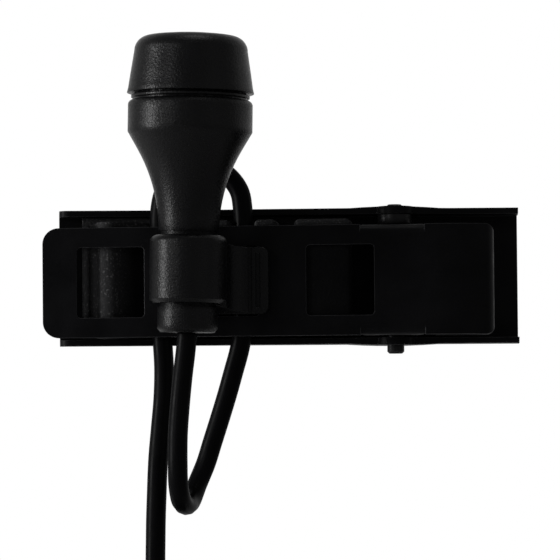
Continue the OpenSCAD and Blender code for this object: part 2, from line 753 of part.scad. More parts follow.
module mic_holder() {
    edge_r = 0.7;
    lower_edge_r = 0.35;
    rib_w = 1.65;
    rib_t = 0.35;
    hook_base = 0.55;
    window_x = first_window_x + window_pitch;
    foot_x0 = window_x - window_w / 2 - foot_over;
    foot_x1 = window_x + window_w / 2 + foot_over;
    core_r = grip_d / 4;
    color(plastic)
        difference() {
            union() {
                on_mic_axis()
                    translate([0, 0, collar_z0])
                        rotate_extrude()
                            translate([core_r, 0])
                                difference() {
                                    square([collar_d / 2 - core_r, collar_h]);
                                    translate([collar_d / 2 - core_r - edge_r, collar_h - edge_r])
                                        difference() {
                                            square(edge_r + eps);
                                            circle(edge_r);
                                        }
                                    translate([collar_d / 2 - core_r, 0])
                                        rotate(45)
                                            square(2 * lower_edge_r / sqrt(2), center = true);
                                }
                holder_web();
                // Foot on the front jaw, its end rib, and the block that fills the window
                in_front_jaw() {
                    through(-sheet_t - foot_t, -sheet_t)
                        round_plate(foot_x0, foot_x1, foot_h, 0.5, 0.7);
                    difference() {
                        through(-sheet_t - foot_t - rib_t, -sheet_t - 0.1)
                            round_plate(foot_x1 - rib_w, foot_x1 - 0.02, foot_h - 0.04, 0.15, 0.7);
                        through(-sheet_t - foot_t - 1, -sheet_t - foot_t + 0.02)
                            square_at(foot_x1 - 1.05, 0.45, foot_h - 1.2);
                    }
                    through(-sheet_t - foot_t / 2, 0)
                        square_at(window_x, window_w - 2 * foot_gap, foot_h);
                    for (s = [-1, 1])
                        through(-sheet_t, hook_t + foot_gap)
                            square_at(window_x + s * (window_w / 2 - foot_gap - hook_base / 2),
                                hook_base, foot_h - 0.8);
                    for (s = [-1, 1])
                        through(foot_gap, hook_t + foot_gap)
                            square_at(window_x + s * (window_w / 2 + hook_reach / 2 - 0.3),
                                hook_reach + 0.6, foot_h - 0.8);
                }
            }
            on_mic_axis() {
                translate([0, 0, collar_z0 - 2])
                    cylinder(d = grip_d + 2 * fit, h = collar_h + 4);
                translate([0, 0, collar_z0 - 1])
                    rotate([0, 0, 145])
                        translate([0, -slit_w / 2, 0])
                            cube([collar_d, slit_w, collar_h + 2]);
                for (z = [collar_z0 - 4, collar_z0 + collar_h])
                    translate([0, 0, z])
                        cylinder(d = neck_d + 0.5, h = 4);
            }
        }
}
module square_at(x, w, h) {
    translate([x - w / 2, -h / 2])
        square([w, h]);
}

// ---- Microphone ----
// Outer profile of the body, radius by height
module body_profile() {
    translate([0, tail_z0])
        difference() {
            square([neck_d / 2, tail_h]);
            translate([neck_d / 2, 0])
                rotate(45)
                    square(0.5, center = true);
        }
    translate([0, tail_z1 - eps])
        square([grip_d / 2, flare_z - tail_z1 + 2 * eps]);
    difference() {
        translate([0, flare_z])
            square([cone_r, cone_z - flare_z + eps]);
        translate([neck_d / 2 + flare_r, flare_z])
            circle(flare_r, $fn = 180);
    }
    polygon([[0, cone_z], [cone_r, cone_z], [body_d / 2, shoulder_z0], [0, shoulder_z0]]);
    translate([0, shoulder_z0 - eps])
        square([body_d / 2, shoulder_h - shoulder_r]);
    translate([0, shoulder_z1 - shoulder_r - 2 * eps])
        square([body_d / 2 - shoulder_r, shoulder_r + 2 * eps]);
    translate([body_d / 2 - shoulder_r, shoulder_z1 - shoulder_r])
        circle(shoulder_r);
}
module mic_body() {
    color(plastic)
        on_mic_axis()
            difference() {
                rotate_extrude()
                    body_profile();
                translate([0, 0, tail_z0 - 1])
                    cylinder(d = bore_d, h = board_z1 - tail_z0);
                translate([0, 0, board_z1 - board_t - part_room])
                    cylinder(d = board_d + 2 * fit, h = 3);
                translate([0, 0, sleeve_z0])
                    cylinder(r = cavity_r, h = 10);
                translate([0, 0, shoulder_z1 - spigot_l])
                    cylinder(d = spigot_d, h = 10);
            }
}
module retainer_ring() {
    inner = capsule_d / 2 + fit;
    color(plastic)
        on_mic_axis() {
            hollow_cylinder(spigot_d / 2, inner, shoulder_z1 - spigot_l, spigot_z1);
            hollow_cylinder(ring_d / 2, inner + 0.2, ring_z0, ring_z1);
        }
}
// Outer profile of the cap
module cap_profile() {
    corner = [cap_top_d / 2 - cap_corner_r, cap_z1 - 0.3 - cap_corner_r];
    dome_r = (pow(corner.x, 2) + pow(0.3, 2)) / (2 * 0.3);
    polygon([[0, cap_z0], [cap_rim_d / 2, cap_z0], [cap_rim_d / 2 - 0.12, cap_z0 + 0.5],
        [cap_top_d / 2 + 0.35, cap_z0 + 1.9], [cap_top_d / 2, corner.y], [0, corner.y]]);
    translate(corner)
        circle(cap_corner_r);
    translate([0, corner.y])
        square([corner.x, cap_corner_r]);
    intersection() {
        translate([0, cap_z1 - dome_r])
            circle(dome_r, $fn = 180);
        translate([0, cap_z1 - 1])
            square([corner.x, 2]);
    }
}
module cap() {
    color(plastic)
        on_mic_axis()
            difference() {
                rotate_extrude()
                    intersection() {
                        cap_profile();
                        square([20, 60]);
                    }
                translate([0, 0, cap_z0 - 1])
                    cylinder(d = spigot_d + 2 * fit, h = spigot_l + screen_t + fit + 1);
                translate([0, 0, cap_z0])
                    cylinder(d = cap_top_d - 2.2, h = cap_h - cap_wall - 0.3);
                for (k = [1 : sound_holes])
                    rotate([0, 0, 360 * k / sound_holes])
                        translate([sound_ring_d / 2, 0, cap_z0])
                            cylinder(d = sound_hole_d, h = cap_h + 1, $fn = 24);
            }
}
module acoustic_screen() {
    color("#3a3a3c")
        on_mic_axis()
            translate([0, 0, spigot_z1])
                cylinder(d = spigot_d - 0.2, h = screen_t);
}
module capsule() {
    port_d = 2;
    color("#b4b6ba")
        on_mic_axis()
            difference() {
                union() {
                    translate([0, 0, capsule_z0])
                        cylinder(d = capsule_d, h = capsule_h);
                    for (x = [-1.4, 1.4])
                        translate([x, 0, board_z1])
                            cylinder(d = 0.7, h = capsule_z0 - board_z1 + eps, $fn = 24);
                }
                translate([0, 0, capsule_z0 + capsule_h - 0.4])
                    cylinder(d = port_d, h = 1);
            }
}
module capsule_sleeve() {
    color(rubber)
        on_mic_axis()
            hollow_cylinder(cavity_r - eps, capsule_d / 2 + eps, sleeve_z0, shoulder_z1 - spigot_l);
}
module preamp_board() {
    color("#1f5a35")
        on_mic_axis()
            translate([0, 0, board_z1 - board_t])
                cylinder(d = board_d, h = board_t);
}
module board_parts() {
    color("#2b2b2b")
        on_mic_axis()
            for (p = [[-1.9, 0.9], [1.9, 0.9], [0, -2.1]])
                translate([p.x - 0.6, p.y - 0.4, board_z1 - board_t - 0.55])
                    cube([1.2, 0.8, 0.55]);
}
module signal_wires() {
    color("#9c3a2e")
        on_mic_axis()
            for (x = [-0.45, 0.45])
                translate([x, 0, stub_z1])
                    cylinder(d = 0.6, h = board_z1 - board_t - stub_z1, $fn = 24);
}
module crimp_ferrule() {
    color(gold)
        on_mic_axis()
            hollow_cylinder(lead_d / 2 + 0.35, lead_d / 2, stub_z1 - 2.4, stub_z1 - 0.4);
}
module strain_bush() {
    color(rubber)
        on_mic_axis()
            hollow_cylinder(bore_d / 2, lead_d / 2, tail_z0, tail_z0 + 4);
}
module lead_stub() {
    color(jacket)
        on_mic_axis()
            translate([0, 0, tail_z0])
                cylinder(d = lead_d, h = stub_z1 - tail_z0);
}

// ---- Lead ----
module lead_front() {
    color(jacket)
        tube(front_route, lead_d, 8, -[sin(mic_lean), 0, cos(mic_lean)], [0, 1, 0]);
}
module lead_rear() {
    color(jacket)
        tube(rear_route, lead_d, 8, [0, 1, 0], coil_entry);
}
module lead_coil() {
    color(jacket)
        tube(coil_route, lead_d, 6, coil_entry, [0, 0, -1]);
}
module lead_end() {
    color(jacket)
        tube(end_route, lead_d, 8);
}
module coil_tie() {
    slack = 0.25;
    at = 130;
    long = layer_in + lead_d + 2 * slack;
    wide = (coil_layers - 1) * turn_pitch + lead_d + 2 * slack;
    color("#2a2a2d")
        translate([coil_x, coil_y + (coil_layers - 1) * turn_pitch / 2, coil_z])
            rotate([0, -at, 0])
                translate([coil_r - layer_in / 2, 0, -tie_w / 2])
                    linear_extrude(tie_w)
                        difference() {
                            round_plate(-long / 2 - tie_t, long / 2 + tie_t, wide + 2 * tie_t,
                                1.2, 1.2);
                            round_plate(-long / 2, long / 2, wide, 0.4, 0.4);
                        }
}

// ---- Plug ----
module plug_boot() {
    color(rubber)
        on_plug_axis()
            difference() {
                translate([0, 0, shell_z])
                    rotate_extrude()
                        polygon([[0, 0], [3, 0], [3, 1], [2.6, 2.2], [lead_d / 2 + 0.5, boot_l],
                            [0, boot_l]]);
                for (k = [0 : 2])
                    translate([0, 0, shell_z + 3.6 + 1.8 * k])
                        for (s = [0, 180])
                            rotate([0, 0, s + 90 * (k % 2)])
                                translate([lead_d / 2 + 0.35, -3, 0])
                                    cube([3, 6, 0.8]);
            }
}
module plug_shell() {
    color("#3c3d40")
        on_plug_axis()
            translate([0, 0, face_z])
                rotate_extrude()
                    polygon([[0, 0], [shell_d / 2 - 0.3, 0], [shell_d / 2, 0.3],
                        [shell_d / 2, shell_l - 5], [shell_d / 2 - 0.35, shell_l - 4.7],
                        [shell_d / 2 - 0.35, shell_l - 4.2], [shell_d / 2, shell_l - 3.9],
                        [shell_d / 2, shell_l - 0.6], [shell_d / 2 - 0.6, shell_l], [0, shell_l]]);
}
module plug_nut() {
    grip_n = 18;
    gap = 0.2;
    front_r = neck_r + 0.4;
    color("#4a4b4f")
        on_plug_axis()
            translate([0, 0, face_z - gap - nut_l])
                difference() {
                    cylinder(d = nut_d, h = nut_l);
                    translate([0, 0, -1])
                        cylinder(r = neck_r + fit, h = nut_l + 2);
                    translate([0, 0, -1])
                        cylinder(r = front_r, h = nut_l + 1 - (neck_l - gap - 0.15));
                    for (k = [1 : grip_n])
                        rotate([0, 0, 360 * k / grip_n])
                            translate([nut_d / 2 + 0.15, 0, 0.8])
                                cylinder(d = 0.9, h = nut_l - 1.6, $fn = 24);
                }
}
module plug_sleeve() {
    color("#b9bbbf")
        on_plug_axis() {
            translate([0, 0, face_z - neck_l])
                cylinder(r = neck_r, h = neck_l);
            translate([0, 0, plug_z])
                cylinder(r = neck_r + 0.25, h = flange_t);
            translate([0, 0, plug_z - sleeve_l])
                cylinder(d = plug_d, h = sleeve_l + eps);
        }
}
module plug_insulators() {
    color("#111111")
        on_plug_axis()
            for (z = [ring_z, tip_top])
                translate([0, 0, z])
                    cylinder(d = plug_d - 2 * eps, h = insulator_t);
}
module plug_ring() {
    color("#b9bbbf")
        on_plug_axis()
            translate([0, 0, ring_z - ring_l])
                cylinder(d = plug_d, h = ring_l);
}
module plug_tip() {
    waist = 0.45;
    color("#b9bbbf")
        on_plug_axis()
            rotate_extrude()
                polygon([[0, tip_z], [plug_d / 2 - 0.9, tip_z], [plug_d / 2, tip_z + 1.3],
                    [plug_d / 2, tip_z + 1.7], [plug_d / 2 - waist, tip_top - 0.9],
                    [plug_d / 2 - waist, tip_top - 0.4], [plug_d / 2, tip_top - 0.15],
                    [plug_d / 2, tip_top], [0, tip_top]]);
}

rear_jaw();
front_jaw();
pivot_pin();
spacer_washer();
torsion_spring();
cable_guide();
mic_holder();
mic_body();
retainer_ring();
cap();
acoustic_screen();
capsule();
capsule_sleeve();
preamp_board();
board_parts();
signal_wires();
crimp_ferrule();
strain_bush();
lead_stub();
lead_front();
lead_rear();
lead_coil();
lead_end();
coil_tie();
plug_boot();
plug_shell();
plug_nut();
plug_sleeve();
plug_ring();
plug_tip();
plug_insulators();
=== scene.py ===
"""Looks of a lavalier microphone on a sprung clip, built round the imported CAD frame."""

import math

import bpy
from mathutils import Matrix, Vector


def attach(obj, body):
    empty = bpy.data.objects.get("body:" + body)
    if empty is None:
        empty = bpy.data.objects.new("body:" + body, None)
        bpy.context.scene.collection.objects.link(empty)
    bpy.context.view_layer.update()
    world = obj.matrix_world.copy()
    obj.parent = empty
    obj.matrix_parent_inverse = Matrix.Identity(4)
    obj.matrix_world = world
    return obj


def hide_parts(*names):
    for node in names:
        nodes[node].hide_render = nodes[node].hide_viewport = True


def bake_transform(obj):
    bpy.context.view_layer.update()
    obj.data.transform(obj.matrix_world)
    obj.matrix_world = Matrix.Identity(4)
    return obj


MM = 0.001
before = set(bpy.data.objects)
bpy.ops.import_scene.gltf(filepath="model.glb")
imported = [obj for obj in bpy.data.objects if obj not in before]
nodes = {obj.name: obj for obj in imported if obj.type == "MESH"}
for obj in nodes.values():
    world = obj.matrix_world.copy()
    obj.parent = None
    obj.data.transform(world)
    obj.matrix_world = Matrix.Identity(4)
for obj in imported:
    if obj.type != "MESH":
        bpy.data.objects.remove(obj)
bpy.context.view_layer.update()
scene = bpy.context.scene
scene.view_settings.view_transform = "Standard"

# ---- Camera, at the photograph's viewing angle, its clip distances in metres ----
FOCAL_PX = 4020
IMAGE_PX = 560
SENSOR_MM = 36
CAMERA_MM = (19.5, -400, -16.9)
PITCH_UP_DEG = 2.44
ROLL_DEG = 0.5
CLIP_NEAR = 0.01
CLIP_FAR = 20


def make_camera():
    data = bpy.data.cameras.new("camera")
    data.sensor_width = SENSOR_MM
    data.lens = FOCAL_PX / IMAGE_PX * SENSOR_MM
    data.clip_start = CLIP_NEAR
    data.clip_end = CLIP_FAR
    camera = bpy.data.objects.new("camera", data)
    scene.collection.objects.link(camera)
    place = Matrix.Translation(Vector(CAMERA_MM) * MM)
    look = Matrix.Rotation(math.radians(90 + PITCH_UP_DEG), 4, "X")
    roll = Matrix.Rotation(math.radians(-ROLL_DEG), 4, "Z")
    camera.matrix_world = place @ look @ roll
    scene.camera = camera


make_camera()

# ---- Meshes from rings of points ----
TUBE_SIDES = 12
END_FACE_SIDES = 8


def mesh_object(name, vertices, faces):
    """An object whose faces are smooth, but for end faces and others with many sides."""
    mesh = bpy.data.meshes.new(name)
    mesh.from_pydata([tuple(v) for v in vertices], [], faces)
    mesh.validate()
    for polygon in mesh.polygons:
        polygon.use_smooth = len(polygon.vertices) < END_FACE_SIDES
    obj = bpy.data.objects.new(name, mesh)
    scene.collection.objects.link(obj)
    return obj


def skinned(name, rings):
    """A closed mesh over rings that have the same number of points."""
    sides = len(rings[0])
    vertices = [point for ring in rings for point in ring]
    faces = []
    for i in range(len(rings) - 1):
        for k in range(sides):
            n = (k + 1) % sides
            faces.append((i * sides + k, i * sides + n, (i + 1) * sides + n, (i + 1) * sides + k))
    last = (len(rings) - 1) * sides
    faces.append(tuple(range(sides - 1, -1, -1)))
    faces.append(tuple(range(last, last + sides)))
    return mesh_object(name, vertices, faces)


def tube(name, line, diameter):
    """A mesh tube along a line, its rings carried on so that it doesn't twist."""
    tangents = []
    for i in range(len(line)):
        before, after = line[max(i - 1, 0)], line[min(i + 1, len(line) - 1)]
        tangents.append((after - before).normalized())
    side = tangents[0].orthogonal().normalized()
    round_angles = [2 * math.pi * k / TUBE_SIDES for k in range(TUBE_SIDES)]
    rings = []
    for p, t in zip(line, tangents):
        side = (side - t * side.dot(t)).normalized()
        up = t.cross(side)
        rings.append([p + diameter / 2 * (math.cos(a) * side + math.sin(a) * up) for a in round_angles])
    return skinned(name, rings)


def smooth_line(points, steps):
    """A smooth line through the points, with the given number of steps between neighbours."""
    line = []
    for i in range(len(points) - 1):
        p1, p2 = points[i], points[i + 1]
        p0 = points[i - 1] if i else p1 + (p1 - p2)
        p3 = points[i + 2] if i + 2 < len(points) else p2 + (p2 - p1)
        d01, d12, d23 = ((b - a).length ** 0.5 for a, b in ((p0, p1), (p1, p2), (p2, p3)))
        m1 = (p2 - p1) + d12 * ((p1 - p0) / d01 - (p2 - p0) / (d01 + d12))
        m2 = (p2 - p1) + d12 * ((p3 - p2) / d23 - (p3 - p1) / (d12 + d23))
        for k in range(steps):
            t = k / steps
            line.append(
                (2 * t**3 - 3 * t**2 + 1) * p1 + (t**3 - 2 * t**2 + t) * m1
                + (3 * t**2 - 2 * t**3) * p2 + (t**3 - t**2) * m2
            )
    line.append(points[-1].copy())
    return line


# ---- Lead: in millimetres, and degrees round the coil, on the same route as the solids' ----
LEAD_D = 2.0
MIC_AXIS_MM = (10.5, -6.85)
MIC_LEAN = math.radians(1.2)
TAIL_Z = -5.2
EXIT = Vector((
    MIC_AXIS_MM[0] + TAIL_Z * math.sin(MIC_LEAN), MIC_AXIS_MM[1], TAIL_Z * math.cos(MIC_LEAN),
))
OUT_OF_TAIL = Vector((0.2, 0, 2))
FRONT_ROUTE = [
    (9.9, -6.9, -9.5), (9.6, -7.1, -12.5), (9.4, -7.4, -15.3), (9.37, -7.6, -18), (9.4, -7.1, -20),
    (9.65, -5.6, -21.6), (10.1, -3.6, -22.1),
]
REAR_ROUTE = [
    (10.55, -1.6, -21.6), (11.15, -0.1, -20), (11.98, 0.4, -18), (12.62, 0.4, -16),
    (13.4, 0.3, -13.6), (14.15, 0.15, -11.2), (14.84, 0, -8.8), (15.4, -0.1, -6.8),
    (15.72, -0.2, -5), (15.85, -0.2, -1), (15.85, -0.2, 3), (15.85, -0.2, 7.2), (15.45, -0.1, 9.2),
    (14, 0.1, 10.9), (11.9, 0.2, 11.5), (9.8, 0.35, 10.95), (8.2, 0.45, 9.4), (7.6, 0.5, 7.2),
    (7.6, 0.5, 3), (7.6, 0.5, -1), (7.7, 0.5, -5), (7.87, 0.5, -8.5), (7.78, 0.5, -11.5),
    (7.5, 0.55, -14.5), (7.22, 0.6, -17.5), (7.05, 0.6, -21), (6.92, 0.6, -25), (6.95, 0.6, -29.7),
    (7.4, 0.6, -31.7), (8.6, 0.6, -33.4), (10.3, 0.6, -34.45),
]
COIL_CENTRE = (6.6, 0.6, -50.5)
COIL_R = 16.35
COIL_START = 70
COIL_LAYERS = 4
COIL_TURNS = 14
TURN_PITCH = 2.45
CLIMB_ANGLE = 180
BOOT_Z = -59.5
COIL_DEPTH = (COIL_LAYERS - 1) * TURN_PITCH
END_X = COIL_CENTRE[0] + COIL_R
END_Y = COIL_CENTRE[1] + COIL_DEPTH
COIL_ANGLE = COIL_START + 360 * COIL_TURNS
LAYER_ANGLE = COIL_ANGLE / COIL_LAYERS
LAYER_IN = TURN_PITCH * LAYER_ANGLE / 360
ROUTE_STEPS = 8
TURN_STEPS = 40


def coil_point(angle):
    """Point of the coil, whose layers run in and out and climb round each reversal."""
    layer, part = divmod(angle / LAYER_ANGLE, 1)
    radius = COIL_R - LAYER_IN * (part if layer % 2 == 0 else 1 - part)
    near = round(angle / LAYER_ANGLE)
    if near < 1:
        layers_back = 0
    elif near > COIL_LAYERS - 1:
        layers_back = COIL_LAYERS - 1
    else:
        climbed = (angle - near * LAYER_ANGLE) / CLIMB_ANGLE + 0.5
        layers_back = near - 1 + max(0, min(1, climbed))
    at = math.radians(COIL_START - angle)
    return Vector((
        COIL_CENTRE[0] + radius * math.cos(at),
        COIL_CENTRE[1] + TURN_PITCH * layers_back,
        COIL_CENTRE[2] + radius * math.sin(at),
    ))


def lead_line():
    """The whole lead's line in metres: its route, the coil, and the stretch to the plug's boot."""
    route = [EXIT, EXIT - OUT_OF_TAIL] + [Vector(p) for p in FRONT_ROUTE + REAR_ROUTE]
    line = smooth_line(route, ROUTE_STEPS)
    steps = math.ceil(COIL_ANGLE / 360 * TURN_STEPS)
    line += [coil_point(COIL_ANGLE * i / steps) for i in range(steps + 1)]
    straight = [Vector((END_X, END_Y, COIL_CENTRE[2])), Vector((END_X, END_Y, BOOT_Z))]
    line += smooth_line(straight, ROUTE_STEPS)[1:]
    return [p * MM for p in line]


# ---- Tie: a hook-and-loop strap round the coil, its end laid over its start (mm) ----
TIE_ANGLE = math.radians(130)
TIE_T = 0.8
TIE_W = 4
TIE_SLACK = 0.25
TIE_CORNER_R = 0.8
TIE_EDGE = 0.18
TIE_START = -3.2
TIE_OVER = 7.4
LAP_STEP = 0.4
OVER_STEP = 0.2
CORNER_STEPS = 6
# Heights of the strap's middle, in its own thicknesses, and the run in which it climbs
ON_COIL = 0.5
ON_ITSELF = 1.5
CLIMB_RUN = 1.6
# The strap's end is rounded over this length, down to this share of its width
TIP_LENGTH = 1.2
TIP_WIDTH = 0.55


def round_box(long, wide, start):
    """Points and outward normals once round a box with rounded corners, from start on its front."""
    ring = [(Vector((start, -wide / 2)), Vector((0, -1)))]
    for sx, sy, turn in ((1, -1, -90), (1, 1, 0), (-1, 1, 90), (-1, -1, 180)):
        middle = Vector((sx * (long / 2 - TIE_CORNER_R), sy * (wide / 2 - TIE_CORNER_R)))
        for k in range(CORNER_STEPS + 1):
            a = math.radians(turn + 90 / CORNER_STEPS * k)
            n = Vector((math.cos(a), math.sin(a)))
            ring.append((middle + TIE_CORNER_R * n, n))
    ring.append(ring[0])
    fine = []
    for (p, n), (q, m) in zip(ring, ring[1:]):
        steps = max(1, math.ceil((q - p).length / LAP_STEP))
        fine += [(p.lerp(q, k / steps), n.lerp(m, k / steps)) for k in range(steps)]
    return fine + [ring[0]]


def make_tie():
    """The strap, once round one side of the coil and on over its own start."""
    lap = round_box(LAYER_IN + LEAD_D + 2 * TIE_SLACK, COIL_DEPTH + LEAD_D + 2 * TIE_SLACK, TIE_START)
    start, front = lap[0]
    over_steps = round(TIE_OVER / OVER_STEP)
    over = [(start + Vector((OVER_STEP * k, 0)), front) for k in range(1, over_steps + 1)]
    walk = lap + over
    out = Vector((math.cos(TIE_ANGLE), 0, math.sin(TIE_ANGLE)))
    back = Vector((0, 1, 0))
    across = out.cross(back)
    place = Vector(COIL_CENTRE) + (COIL_R - LAYER_IN / 2) * out + COIL_DEPTH / 2 * back
    # Half the strap's thickness and width, and the bevel of its edges
    t, w, b = TIE_T / 2, TIE_W / 2, TIE_EDGE
    section = [
        (-t, b - w), (-t, w - b), (b - t, w), (t - b, w),
        (t, w - b), (t, b - w), (t - b, -w), (b - t, -w),
    ]
    rings = []
    for i, (p, n) in enumerate(walk):
        before_lap_end = (len(lap) - 1 - i) * LAP_STEP
        lift = max(ON_COIL, min(ON_ITSELF, ON_ITSELF - before_lap_end / CLIMB_RUN))
        from_tip = min(1, (len(walk) - 1 - i) * OVER_STEP / TIP_LENGTH)
        narrow = TIP_WIDTH + (1 - TIP_WIDTH) * math.sqrt(1 - (1 - from_tip) ** 2)
        ring = []
        for deep, wide in section:
            at = p + n * (lift * TIE_T + deep)
            ring.append((place + at.x * out + at.y * back + wide * narrow * across) * MM)
        rings.append(ring)
    return skinned("tie", rings)


tie = make_tie()
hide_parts("coil_tie")
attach(tie, "rear_jaw")

# ---- Torsion spring: turns round the pin, one leg on each jaw (mm and degrees) ----
SPRING_AXIS = Vector((31, 1.2, 0))
SPRING_R = 1.45
SPRING_WIRE = 0.6
SPRING_PITCH = 1.1
SPRING_FROM = -125
SPRING_TO = 1918
SPRING_STEP = 12
LEG_STEPS = 6
# Length and direction of each leg
FRONT_LEG = (4.3, -35)
REAR_LEG = (4.9, 28)


def spring_line():
    """The spring's line in metres, from the end of its front leg to that of its rear leg."""
    def on_coil(angle):
        a = math.radians(angle)
        up = SPRING_PITCH * (angle - (SPRING_FROM + SPRING_TO) / 2) / 360
        return SPRING_AXIS + Vector((SPRING_R * math.cos(a), SPRING_R * math.sin(a), up))

    def leg(first, length, angle):
        a = math.radians(angle)
        away = Vector((math.cos(a), math.sin(a), 0))
        return [first + length * k / LEG_STEPS * away for k in range(1, LEG_STEPS + 1)]

    turns = [on_coil(a) for a in (*range(SPRING_FROM, SPRING_TO, SPRING_STEP), SPRING_TO)]
    line = leg(turns[0], *FRONT_LEG)[::-1] + turns + leg(turns[-1], *REAR_LEG)
    return [p * MM for p in line]


spring = tube("spring", spring_line(), SPRING_WIRE * MM)
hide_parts("torsion_spring")
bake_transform(spring)

path = lead_line()
lead = tube("lead", path, LEAD_D * MM)
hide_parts("lead_front", "lead_rear", "lead_coil", "lead_end")
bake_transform(lead)


# ---- Materials ----
def add_node(tree, kind, inputs=(), **settings):
    """A new shader node, with its inputs linked to sockets or set to values."""
    node = tree.nodes.new("ShaderNode" + kind)
    for key, value in settings.items():
        setattr(node, key, value)
    for key, value in dict(inputs).items():
        if isinstance(value, bpy.types.NodeSocket):
            tree.links.new(value, node.inputs[key])
        else:
            node.inputs[key].default_value = value
    return node


class Nodes:
    """Builds one Principled material, with its textures placed in the shared frame's metres."""

    WEAR_STARTS = 0.97
    WEAR_FULL = 0.8
    BEVEL_SAMPLES = 6

    def __init__(self, name, **constants):
        self.material = bpy.data.materials.new(name)
        self.material.use_nodes = True
        self.tree = self.material.node_tree
        self.shader = self.tree.nodes["Principled BSDF"]
        for key, value in constants.items():
            self.shader.inputs[key.replace("_", " ")].default_value = value
        self.place = self.add("TexCoord").outputs["Object"]

    def add(self, kind, inputs=(), **settings):
        return add_node(self.tree, kind, inputs, **settings)

    def noise(self, size_mm, detail):
        """Noise whose features are about size_mm across."""
        inputs = {"Vector": self.place, "Scale": 1 / (size_mm * MM), "Detail": detail}
        return self.add("TexNoise", inputs).outputs["Fac"]

    def ranged(self, value, low, high, from_low=0.3, from_high=0.7):
        """The value, taken from its own range (that of most noise) to low and high."""
        inputs = {
            "Value": value, "From Min": from_low, "From Max": from_high, "To Min": low, "To Max": high,
        }
        return self.add("MapRange", inputs).outputs["Result"]

    def roughness(self, value, middle, less, more):
        """A roughness that varies round its middle as the value does."""
        return self.ranged(value, middle - less, middle + more)

    def mixed(self, factor, one, other):
        """One colour where the factor is 0, and the other where it is 1."""
        node = self.add("Mix", data_type="RGBA")
        for socket, value in ((node.inputs[6], one), (node.inputs[7], other)):
            if isinstance(value, bpy.types.NodeSocket):
                self.tree.links.new(value, socket)
            else:
                socket.default_value = (*value, 1)
        self.tree.links.new(factor, node.inputs[0])
        return node.outputs[2]

    def bumped(self, height, depth_mm, strength, under=None):
        """The surface's normal, or the one under it, turned by a bump of this height."""
        inputs = {"Height": height, "Distance": depth_mm * MM, "Strength": strength}
        if under is not None:
            inputs["Normal"] = under
        return self.add("Bump", inputs).outputs["Normal"]

    def rounded(self, radius_mm):
        """The surface's normal, turned near its edges as if they were rounded."""
        inputs = {"Radius": radius_mm * MM}
        return self.add("Bevel", inputs, samples=self.BEVEL_SAMPLES).outputs["Normal"]

    def wear(self, radius_mm):
        """1 along the edges of the surface, and 0 away from them."""
        true_normal = self.add("NewGeometry").outputs["Normal"]
        both = {0: self.rounded(radius_mm), 1: true_normal}
        agree = self.add("VectorMath", both, operation="DOT_PRODUCT").outputs["Value"]
        return self.ranged(agree, 1, 0, self.WEAR_FULL, self.WEAR_STARTS)

    def use(self, colour, rough, normal):
        """The finished material. Where rough is None, its roughness is the constant."""
        for key, value in (("Base Color", colour), ("Roughness", rough), ("Normal", normal)):
            if value is not None:
                self.tree.links.new(value, self.shader.inputs[key])
        return self.material


EDGE_MM = 0.12
WORN_LIGHTER = 2.2
# The size and depth of the finer grain, as shares of the grain's own
FINE_SIZE = 0.6
FINE_DEPTH = 0.35
# Where the guide's painted highlight lies: fully and no more, along its length and up its height
PAINTED_HIGHLIGHT_X_MM = (2.6, 5)
PAINTED_HIGHLIGHT_Z_MM = (5.7, 5.3)
# Where the painted glints begin and where they are full, on the noise's range
GLINT_FROM = 0.62
GLINT_FULL = 0.72
# Texture scales, per metre
MESH_WAVES = 1500
STRAP_LOOPS = 3500


def plastic_colour(n, dark, light):
    """Faint patches, lighter along the edges."""
    patches = n.ranged(n.noise(size_mm=3.5, detail=3), 0, 1)
    colour = n.mixed(patches, dark, light)
    return n.mixed(n.wear(radius_mm=0.1), colour, [WORN_LIGHTER * c for c in light])


def moulded_plastic(name, dark, light, grain_mm, depth_mm, rough, specular, edge_mm=EDGE_MM):
    """Plastic with the fine spark grain of its mould."""
    n = Nodes(name, Specular_IOR_Level=specular)
    colour = plastic_colour(n, dark, light)
    grain = n.noise(grain_mm, detail=1)
    fine = n.noise(grain_mm * FINE_SIZE, detail=1)
    grained = n.bumped(grain, depth_mm, strength=0.8, under=n.rounded(edge_mm))
    normal = n.bumped(fine, depth_mm * FINE_DEPTH, strength=0.6, under=grained)
    return n.use(colour, n.roughness(fine, rough, less=0.1, more=0.16), normal)


def plastic_with_painted_highlight(name, dark, light, painted_highlight, painted_glint, grain_mm, depth_mm, rough, specular):
    """Plastic with a painted highlight at its grip end and along its top, flecked with painted glints."""
    n = Nodes(name, Specular_IOR_Level=specular)
    at = n.add("SeparateXYZ", {"Vector": n.place}).outputs
    x_full, x_none = PAINTED_HIGHLIGHT_X_MM
    z_full, z_none = PAINTED_HIGHLIGHT_Z_MM
    # The grip end and the top are a painted highlight, flecked with painted glints
    tip = n.ranged(at["X"], 1, 0, x_full * MM, x_none * MM)
    top = n.ranged(at["Z"], 0, 1, z_none * MM, z_full * MM)
    painted_lit = n.add("Math", {0: tip, 1: top}, operation="MAXIMUM").outputs[0]
    glints = n.ranged(n.noise(size_mm=0.2, detail=1), 0, 1, GLINT_FROM, GLINT_FULL)
    colour = n.mixed(painted_lit, plastic_colour(n, dark, light), n.mixed(glints, painted_highlight, painted_glint))
    grain = n.noise(grain_mm, detail=1)
    normal = n.bumped(grain, depth_mm, strength=0.8, under=n.rounded(EDGE_MM))
    return n.use(colour, n.roughness(grain, rough, less=0.1, more=0.16), normal)


def painted_steel(name, dark, light, worn, rough, specular):
    """Painted metal, its paint like fine orange peel and worn along the edges."""
    n = Nodes(name, Specular_IOR_Level=specular)
    colour = n.mixed(n.ranged(n.noise(size_mm=5, detail=4), 0, 1), dark, light)
    colour = n.mixed(n.wear(EDGE_MM), colour, worn)
    orange_peel = n.noise(size_mm=0.3, detail=2)
    normal = n.bumped(orange_peel, depth_mm=0.02, strength=0.5, under=n.rounded(EDGE_MM))
    smears = n.roughness(n.noise(size_mm=2, detail=3), rough, less=0.08, more=0.1)
    return n.use(colour, smears, normal)


